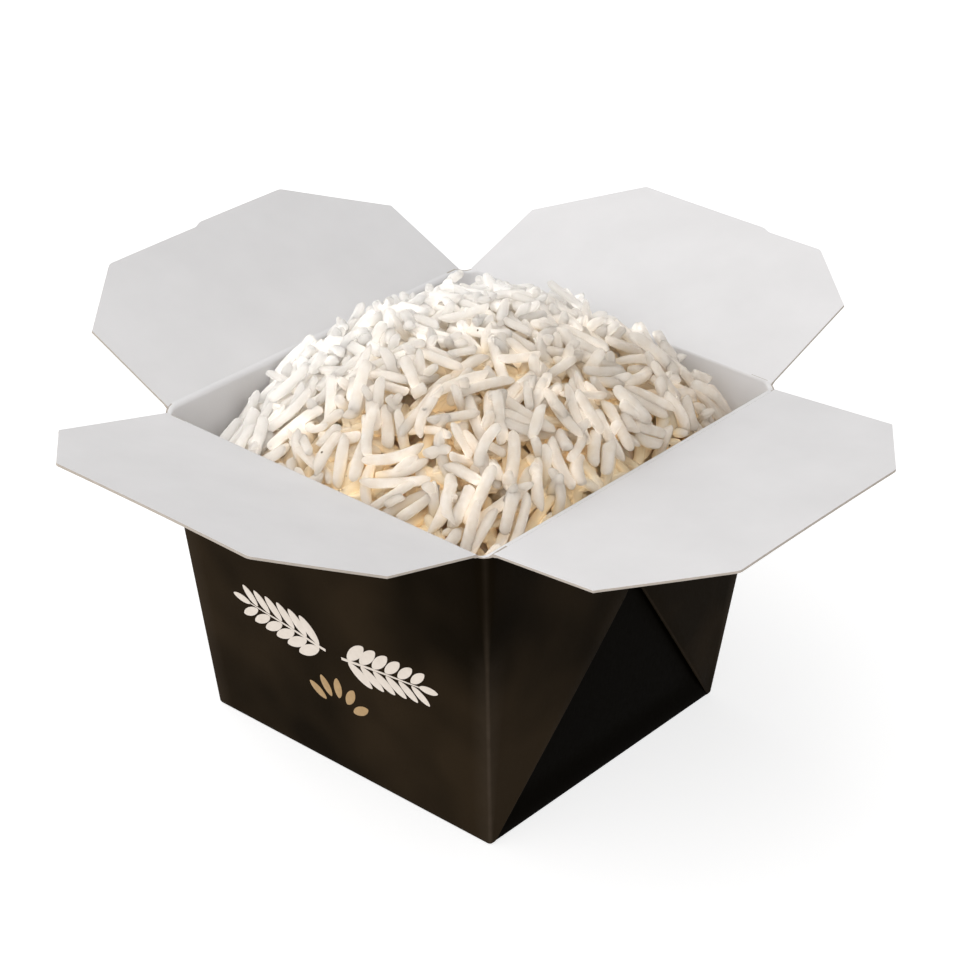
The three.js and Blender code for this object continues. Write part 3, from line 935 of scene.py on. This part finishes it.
class Heap:
    """Grains dropped one after the other, each settling on those below it."""

    def __init__(self, rng):
        self.rng = rng
        self.field = Field()
        self.surface = heap_surface(self.field)
        self.core = self.surface - CORE_DEPTH
        self.height = self.core + rng.normal(0, CORE_ROUGH, self.surface.shape)
        self.rest = self.core + MEAN_RADIUS          # how low a grain's middle line can lie
        self.weary = np.zeros(self.surface.shape)
        self.grains = []
        self.levels = np.arange(0, HEIGHT + 1)
        self.walls = np.array([inner_half(z) for z in self.levels])
        self.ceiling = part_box("rice")[1].z / MM
        clear = self.room(self.surface - EDGE_DEPTH) - EDGE_GAP
        reach = np.meshgrid(np.abs(self.field.x), np.abs(self.field.y), indexing="ij")
        self.open = np.argwhere((np.stack(reach, axis=-1) < clear).all(axis=-1))

    def cover(self, grain):
        """Raises the heap by one grain."""
        self.grains.append(grain)
        for (x, y, z), radius in zip(grain.centreline(COVERED), grain.thickness(COVERED)):
            i, j = self.field.cell(x, y)
            for heights, reach in ((self.height, radius), (self.rest, radius + MEAN_RADIUS)):
                cells = self.around(i, j, int(reach / CELL) + 1)
                dx, dy = self.field.x[cells[0]] - x, self.field.y[cells[1]] - y
                lift = reach * reach - dx[:, None] ** 2 - dy[None, :] ** 2
                tops = np.where(lift > 0, z + np.sqrt(np.maximum(lift, 0)), -np.inf)
                heights[cells] = np.maximum(heights[cells], tops)

    def room(self, z):
        """Half the clear width and length of the box at each height."""
        sides = [np.interp(z, self.levels, self.walls[:, axis]) for axis in (X, Y)]
        return np.stack(sides, axis=-1)

    def inside(self, middles, lines, radii):
        """Moves grains clear of the walls, and says which of them then are."""
        for _ in range(2):
            points = middles[:, None] + lines
            half = self.room(points[..., Z]) - radii[:, None]
            past_high = np.maximum(points[..., :2] - half, 0).max(axis=1)
            past_low = np.maximum(-half - points[..., :2], 0).max(axis=1)
            middles[:, :2] += past_low - past_high
        points = middles[:, None] + lines
        half = self.room(points[..., Z]) - radii[:, None] + WALL_SLACK
        return (np.abs(points[..., :2]) <= half).all(axis=(1, 2))

    def needed(self, points, radii):
        """How low a grain's middle line can lie at each of its probes."""
        return self.field.sample(self.rest, points[..., X], points[..., Y]) - (MEAN_RADIUS - radii)

    def over(self, points, radii):
        """How far each grain rises over the heap's surface; a lot if over the highest point."""
        tops = points[..., Z] + radii
        rise = (tops - self.field.sample(self.surface, points[..., X], points[..., Y])).max(axis=1)
        return np.where(tops.max(axis=1) < self.ceiling, rise, np.inf)

    def lowest_place(self, tries):
        """Of some random places, the one that most wants a grain."""
        i, j = self.open[self.rng.integers(0, len(self.open), tries)].T
        best = (self.surface[i, j] - self.height[i, j] - self.weary[i, j]).argmax()
        return i[best], j[best]

    def spot(self, i, j, z=0.0):
        """The point at a height over a place of the grid."""
        return np.array((self.field.x[i], self.field.y[j], z))

    def spots(self, i, j, z):
        """The same point for each of the headings that a grain tries."""
        return np.tile(self.spot(i, j, z), (HEADINGS, 1))

    def settle_least(self, grain, push, most, ways):
        """Settles a grain in the way that pushes least; false if even that is too much."""
        k = push.argmin()
        if push[k] > most:
            return False
        grain.settle(*(way[k] for way in ways))
        return True

    def bed(self, grain, i, j):
        """Buries a grain, lying anyhow along the heap's slope; false if a wall is in the way."""
        grain.heading = self.rng.uniform(0, 2 * math.pi)
        grain.middle = self.spot(i, j)
        line = grain.centreline(PROBES)
        ground = self.field.sample(self.surface, line[:, X], line[:, Y])
        slope = np.polyfit(PROBES * grain.length / 2, ground, 1)[0]
        grain.pitch = math.atan(slope) + self.rng.normal(0, BED_UNEVEN)
        grain.middle[Z] = ground.mean() - self.rng.uniform(*BED_DEPTH) - grain.radius
        line, radii = grain.centreline(PROBES), grain.thickness(PROBES)
        return self.inside(grain.middle[None], (line - grain.middle)[None], radii)[0]

    def lay(self, grain, i, j):
        """Lets a grain down until it rests on both sides of its middle; false if too high."""
        heading = self.rng.uniform(0, 2 * math.pi, HEADINGS)
        pitch = np.zeros(HEADINGS)
        middles = self.spots(i, j, self.height[i, j] + 1)
        radii = grain.thickness(PROBES)
        run = PROBES * grain.length / 2
        left, right = PROBES < -0.01, PROBES > 0.01
        for _ in range(SETTLING_ROUNDS):
            lines = grain.centrelines(PROBES, heading, pitch)
            fits = self.inside(middles, lines, radii)
            spread = run * np.cos(pitch)[:, None]
            sag = lines[..., Z] - run * np.sin(pitch)[:, None]
            need = self.needed(middles[:, None] + lines, radii) - sag
            sl, sr = spread[:, left, None], spread[:, None, right]
            nl, nr = need[:, left, None], need[:, None, right]
            at_middle = ((nl * sr - nr * sl) / (sr - sl)).reshape(HEADINGS, -1)
            slopes = np.broadcast_to((nr - nl) / (sr - sl), (HEADINGS, left.sum(), right.sum()))
            best = at_middle.argmax(axis=1)
            every = np.arange(HEADINGS)
            middles[:, Z] = np.maximum(at_middle[every, best], need[:, len(PROBES) // 2])
            pitch = np.arctan(slopes.reshape(HEADINGS, -1)[every, best])
        middles[:, Z] -= PRESS
        lines = grain.centrelines(PROBES, heading, pitch)
        fits &= self.inside(middles, lines, radii) & (np.abs(pitch) < STEEPEST_LYING)
        points = middles[:, None] + lines
        fits &= self.over(points, radii) < LYING_RISE
        if not fits.any():
            return False
        k = self.rng.choice(np.flatnonzero(fits))
        grain.settle(middles[k], heading[k], pitch[k])
        return True

    def stand(self, grain, i, j):
        """Stands a grain on its end in a hollow; false if it finds no room."""
        heading = self.rng.uniform(0, 2 * math.pi, HEADINGS)
        pitch = self.rng.uniform(*STANDING_PITCH, HEADINGS)
        rise = self.rng.uniform(*STANDING_RISE)
        radii = grain.thickness(PROBES)
        lines = grain.centrelines(PROBES, heading, pitch)
        middles = self.spots(i, j, self.rest[i, j]) - lines[:, 0]
        middles[:, Z] -= SQUEEZE
        fits = self.inside(middles, lines, radii)
        points = middles[:, None] + lines
        top = points[:, -1, Z] + radii[-1]
        over = top - self.field.sample(self.surface, points[:, -1, X], points[:, -1, Y])
        push = (self.needed(points, radii) - points[..., Z]).max(axis=1)
        fits &= (over < rise) & (top < self.ceiling)
        push = np.where(fits, push, np.inf)
        return self.settle_least(grain, push, MOST_PUSH, (middles, heading, pitch))

    def wedge(self, grain, i, j):
        """Pushes a grain into a narrow hollow; false if it would cut deep into others."""
        heading = self.rng.uniform(0, 2 * math.pi, HEADINGS)
        pitch = self.rng.uniform(-WEDGE_PITCH, WEDGE_PITCH, HEADINGS)
        radii = grain.thickness(PROBES)
        lines = grain.centrelines(PROBES, heading, pitch)
        z = self.surface[i, j] - self.rng.uniform(*WEDGE_DEPTH) - grain.radius
        middles = self.spots(i, j, z)
        fits = self.inside(middles, lines, radii)
        points = middles[:, None] + lines
        over = self.over(points, radii)
        push = np.maximum(self.needed(points, radii) - points[..., Z], 0).mean(axis=1)
        push = np.where(fits & (over < LYING_RISE), push, np.inf)
        return self.settle_least(grain, push, WEDGE_PUSH, (middles, heading, pitch))

    def poke(self, grain):
        """Sets a grain with its lower part buried and its upper end out of the heap."""
        i, j = self.open[self.rng.integers(0, len(self.open))]
        grain.heading = self.rng.uniform(0, 2 * math.pi)
        grain.pitch = self.rng.uniform(*TIP_PITCH)
        top = min(self.surface[i, j] + self.rng.uniform(*TIP_RISE), self.ceiling - TIP_CLEAR)
        grain.middle = self.spot(i, j)
        end = grain.centreline(np.array([1.0]))[0]
        grain.middle -= end - self.spot(i, j, top)
        line = grain.centreline(PROBES)
        radii = grain.thickness(PROBES)
        half = self.room(line[:, Z]) - radii[:, None]
        if (np.abs(line[:, :2]) <= half).all():
            self.cover(grain)

    def around(self, i, j, cells):
        """The part of the grid that lies up to so many cells from a place."""
        return tuple(slice(max(k - cells, 0), k + cells + 1) for k in (i, j))

    def tire(self, i, j, cells):
        """Makes a place, and the cells round it, less wanted after a failure."""
        self.weary[self.around(i, j, cells)] += PATIENCE

    def drop(self, kind):
        """Adds a grain at a low place, lying or standing, if it fits there."""
        grain = Grain(kind, self.rng)
        i, j = self.lowest_place(tries=8)
        ways = [self.lay, self.stand]
        if self.rng.random() < STANDING_WANTED:
            ways.reverse()
        if any(way(grain, i, j) for way in ways):
            self.cover(grain)
        else:
            self.tire(i, j, cells=2)

    def random_kind(self):
        shares = np.array([kind[0] for kind in KINDS.values()])
        return list(KINDS)[self.rng.choice(len(KINDS), p=shares / shares.sum())]

    def fill(self, count, kind, way, tries, cells):
        """Tries so many low places, each with a new grain of a kind that is set in one way."""
        self.weary[:] = 0
        for _ in range(count):
            i, j = self.lowest_place(tries)
            grain = Grain(kind(), self.rng)
            if way(grain, i, j):
                self.cover(grain)
            else:
                self.tire(i, j, cells)

    def pile(self):
        self.fill(BEDDED, lambda: COARSE_KIND, self.bed, tries=6, cells=2)
        self.weary[:] = 0
        for _ in range(DROPPED):
            self.drop(self.random_kind())
        self.fill(WEDGED, self.random_kind, self.wedge, tries=20, cells=3)
        for _ in range(TIPS):
            self.poke(Grain(self.random_kind(), self.rng))


def grain_points(grain, sides, rings):
    """The points of one grain: rings round its curved middle, and a point at each end."""
    t = np.sin(np.linspace(-1, 1, rings + 2)[1:-1] * math.pi / 2)
    along, side, up = axes_of(grain.heading, grain.pitch)
    angles = np.linspace(0, 2 * math.pi, sides, endpoint=False)
    line, radii = grain.centreline(t), grain.thickness(t)
    outlines = []
    for middle, radius, place in zip(line, radii, t):
        turned = angles + grain.twist * place
        width = radius * (1 + grain.ridge[0] * np.cos(3 * turned + grain.ridge[1]))
        ring = np.outer(width * np.cos(turned), side)
        ring += np.outer(grain.flat * width * np.sin(turned), up)
        slant = grain.slant[int(place > 0)] * abs(place) ** 4
        skewed = np.outer(slant * width * np.cos(turned - grain.roll), along)
        outlines.append(middle + ring + skewed)
    ends = grain.centreline(np.array([-1.0, 1.0]))
    return np.vstack([ends[:1], *outlines, ends[1:]])


def grain_faces(sides, rings):
    number = [[1 + r * sides + s for s in range(sides)] for r in range(rings)]
    faces = [face for r in range(rings - 1) for face in band_faces(number[r], number[r + 1])]
    faces += fan_faces(number[0], 0, up=False)
    faces += fan_faces(number[-1], 1 + rings * sides, up=True)
    return faces


def clear_of_flaps(grain):
    """Whether a grain stays clear of the front and back flaps, which lean in when closed."""
    middles = grain.centreline(np.linspace(-1, 1, 9))
    inwards = RIM[Y] - np.abs(middles[:, Y])
    above = middles[:, Z] - HEIGHT
    distance = inwards * math.cos(FLAP_LEAN) - above * math.sin(FLAP_LEAN)
    return not ((above > 0) & (distance < grain.radius + FLAP_GAP)).any()


def painted_side_shade(x, y):
    """From 0 to 1: painted shade that makes the rice creamier and duller towards its +X side, away
    from the key light.
    """
    towards = np.asarray(x) * math.sin(SHADED_SIDE) - np.asarray(y) * math.cos(SHADED_SIDE)
    return smoothstep(*SIDE_SHADE_FROM, towards)


def tone_and_side_shade(grain):
    """How white a grain is, from 0 to 1: its random tone, dulled on the +X side by the painted side
    shade.
    """
    side_shade = float(painted_side_shade(grain.middle[X], grain.middle[Y]))
    return (1 - SIDE_SHADE_SHARE * side_shade) * lerp(LEAST_WHITE, 1.0, grain.tone)


def cooked_rice(name, softness):
    """Cooked rice: clouded white, with painted warm shade the deeper it lies and the painted
    side shade carried in its tone, with a few specks of bran. Light spreads softness
    millimetres in it."""
    finish = Finish(name, Subsurface_Weight=1.0, Subsurface_Scale=softness * MM,
                    Subsurface_Radius=(1.0, 1.0, 1.0), Specular_IOR_Level=0.15, Roughness=0.55)
    finish.shader.subsurface_method = "BURLEY"
    # the tone attribute holds each grain's random tone, dulled by the painted side shade
    white = finish.mix(finish.attribute("tone"), (0.735, 0.655, 0.555), (0.920, 0.906, 0.886))
    cloud = finish.remap(finish.noise(2.2, detail=3), 0.35, 0.7, 0, 0.4)
    clouded = finish.mix(cloud, white, (0.903, 0.888, 0.860))
    # painted shade: warm tan the deeper a point lies under the heap's surface
    depth_shaded = finish.mix(finish.attribute("depth"), clouded, (0.955, 0.825, 0.59))
    bran = finish.specks(spacing=7, radius=0.3)
    finish.colour(finish.mix(bran, depth_shaded, (0.10, 0.065, 0.035)))
    finish.bump(finish.noise(0.8, detail=3), 0.05)
    return finish.material


def rice_core_finish():
    # painted shade: the core shows only between the grains and is coloured as rice in shade, warm
    # tan on the shaded +X side and pale on the lit side
    finish = Finish("rice_core", Subsurface_Weight=0.3, Subsurface_Scale=2 * MM, Roughness=0.55)
    shade_warm = finish.mix(finish.noise(3), (0.77, 0.65, 0.485), (0.83, 0.71, 0.546))
    finish.colour(finish.mix(finish.attribute("side_shade"), (0.93, 0.895, 0.84), shade_warm))
    finish.bump(finish.noise(2.5), 1.0)
    return finish.material


def make_core(heap):
    """The body of the heap under its grains: its top from the field, its sides down the walls."""
    i = range(0, heap.field.shape[0], CORE_STEP)
    j = range(0, heap.field.shape[1], CORE_STEP)
    points, index = [], {}
    for b in j:
        for a in i:
            z = heap.core[a, b]
            half = inner_half(z)
            x = np.clip(heap.field.x[a], -half[0], half[0])
            y = np.clip(heap.field.y[b], -half[1], half[1])
            index[a, b] = len(points)
            points.append((x, y, z))
    faces = [
        (index[a, b], index[a2, b], index[a2, b2], index[a, b2])
        for b, b2 in zip(j, j[1:]) for a, a2 in zip(i, i[1:])
    ]
    border = ([index[a, j[0]] for a in i[:-1]] + [index[i[-1], b] for b in j[:-1]]
              + [index[a, j[-1]] for a in i[:0:-1]] + [index[i[0], b] for b in j[:0:-1]])
    low = BOARD + CORE_CLEAR
    half = np.array(inner_half(low)) - (WEB, 0)
    lower = []
    for number in border:
        x, y, _ = points[number]
        lower.append(len(points))
        points.append((np.clip(x, -half[0], half[0]), np.clip(y, -half[1], half[1]), low))
    faces += band_faces(lower, border)
    points.append((0, 0, low))
    faces += fan_faces(lower, len(points) - 1, up=False)
    points = np.array(points)
    # painted side shade, for the core's colour
    layers = {"side_shade": painted_side_shade(points[:, X], points[:, Y])}
    return mesh_object("rice_core", points, faces, [rice_core_finish()], layers=layers, sharp=50)


def make_rice():
    heap = Heap(np.random.default_rng(SEED))
    heap.pile()
    pieces = [make_core(heap)]
    whole, under = cooked_rice("cooked_rice", 6), cooked_rice("cooked_rice_under", 4)
    for kind in KINDS:
        sides, rings = COARSE_MESH if kind == COARSE_KIND else GRAIN_MESH
        template = grain_faces(sides, rings)
        chosen = [grain for grain in heap.grains if grain.kind == kind and clear_of_flaps(grain)]
        meshes = [grain_points(grain, sides, rings) for grain in chosen]
        size = len(meshes[0])
        points = np.vstack(meshes)
        faces = [tuple(v + k * size for v in face) for k in range(len(chosen)) for face in template]
        # painted warm shade by depth under the heap's surface, with less of it on the lit side
        surface = heap.field.sample(heap.surface, points[:, X], points[:, Y])
        depth = np.clip((surface - points[:, Z] - PALE_DEPTH) / WARM_DEPTH, 0, 1)
        depth *= lerp(LIT_SIDE_WARMTH, 1.0, painted_side_shade(points[:, X], points[:, Y]))
        material = under if kind == COARSE_KIND else whole
        layers = {"tone": np.repeat([tone_and_side_shade(grain) for grain in chosen], size), "depth": depth}
        pieces.append(mesh_object(kind, points, faces, [material], layers=layers, sharp=None))
    for piece in pieces:
        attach(piece, "box")
        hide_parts("rice")


make_rice()


# ---- Floor, light and camera -----------------------------------------------------------

FLOOR_SIZE = 6000          # millimetres
FLOOR_GLOW = 0.726
ROOM_LIGHT = 0.283
LAMP_COLOUR = (1.0, 0.99, 0.98)
RICE_BOUNCES = 10          # light reaches deep between pale grains
CAMERA = {"azimuth": 39.72, "elevation": 29.37, "roll": 1.476, "distance": 625.9,
          "target": (-22.07, 29.15, 34.0), "lens": 105, "sensor": 36}


def pale_floor():
    """A white floor lit from below as well, as under a packshot, so that its shadow is light."""
    finish = Finish("pale_floor", Specular_IOR_Level=0.1, Roughness=0.8,
                    Emission_Color=(1.0, 1.0, 1.0, 1), Emission_Strength=FLOOR_GLOW)
    finish.colour(finish.mix(finish.noise(40, detail=2), (0.51, 0.51, 0.51), (0.53, 0.53, 0.53)))
    half = FLOOR_SIZE / 2
    corners = [(-half, -half, 0), (half, -half, 0), (half, half, 0), (-half, half, 0)]
    floor = mesh_object("floor", corners, [(0, 1, 2, 3)], [finish.material], sharp=None)


def direction_to(azimuth, elevation):
    """A direction from degrees; azimuth 0 is towards -Y and 90 towards +X."""
    turn, rise = math.radians(azimuth), math.radians(elevation)
    flat = math.cos(rise)
    return Vector((math.sin(turn) * flat, -math.cos(turn) * flat, math.sin(rise)))


def area_light(name, azimuth, elevation, distance, size, power):
    """A square soft light."""
    direction = direction_to(azimuth, elevation)
    light = bpy.data.lights.new(name, "AREA")
    light.size = size * MM
    light.energy = power
    light.color = LAMP_COLOUR
    lamp = into_scene(name, light)
    lamp.location = direction * distance * MM + Vector((0, 0, HEIGHT / 2 * MM))
    lamp.rotation_euler = direction.to_track_quat("Z", "Y").to_euler()


def light_scene():
    world = bpy.data.worlds.new("studio")
    world.use_nodes = True
    background = world.node_tree.nodes["Background"]
    background.inputs["Color"].default_value = (1.0, 1.0, 1.0, 1)
    background.inputs["Strength"].default_value = ROOM_LIGHT
    bpy.context.scene.world = world
    area_light("key", azimuth=-55, elevation=50, distance=900, size=2200, power=16.3)
    area_light("fill", azimuth=50, elevation=25, distance=900, size=1200, power=3.1)
    bpy.context.scene.view_settings.view_transform = "Standard"
    bpy.context.scene.cycles.diffuse_bounces = RICE_BOUNCES


def place_camera():
    back = direction_to(CAMERA["azimuth"], CAMERA["elevation"])
    lens = bpy.data.cameras.new("camera")
    lens.lens = CAMERA["lens"]
    lens.sensor_width = CAMERA["sensor"]
    camera = into_scene("camera", lens)
    camera.location = (Vector(CAMERA["target"]) + back * CAMERA["distance"]) * MM
    aimed = back.to_track_quat("Z", "Y").to_matrix()
    rolled = aimed @ Matrix.Rotation(math.radians(CAMERA["roll"]), 3, "Z")
    camera.rotation_euler = rolled.to_euler()
    bpy.context.scene.camera = camera


pale_floor()
light_scene()
place_camera()
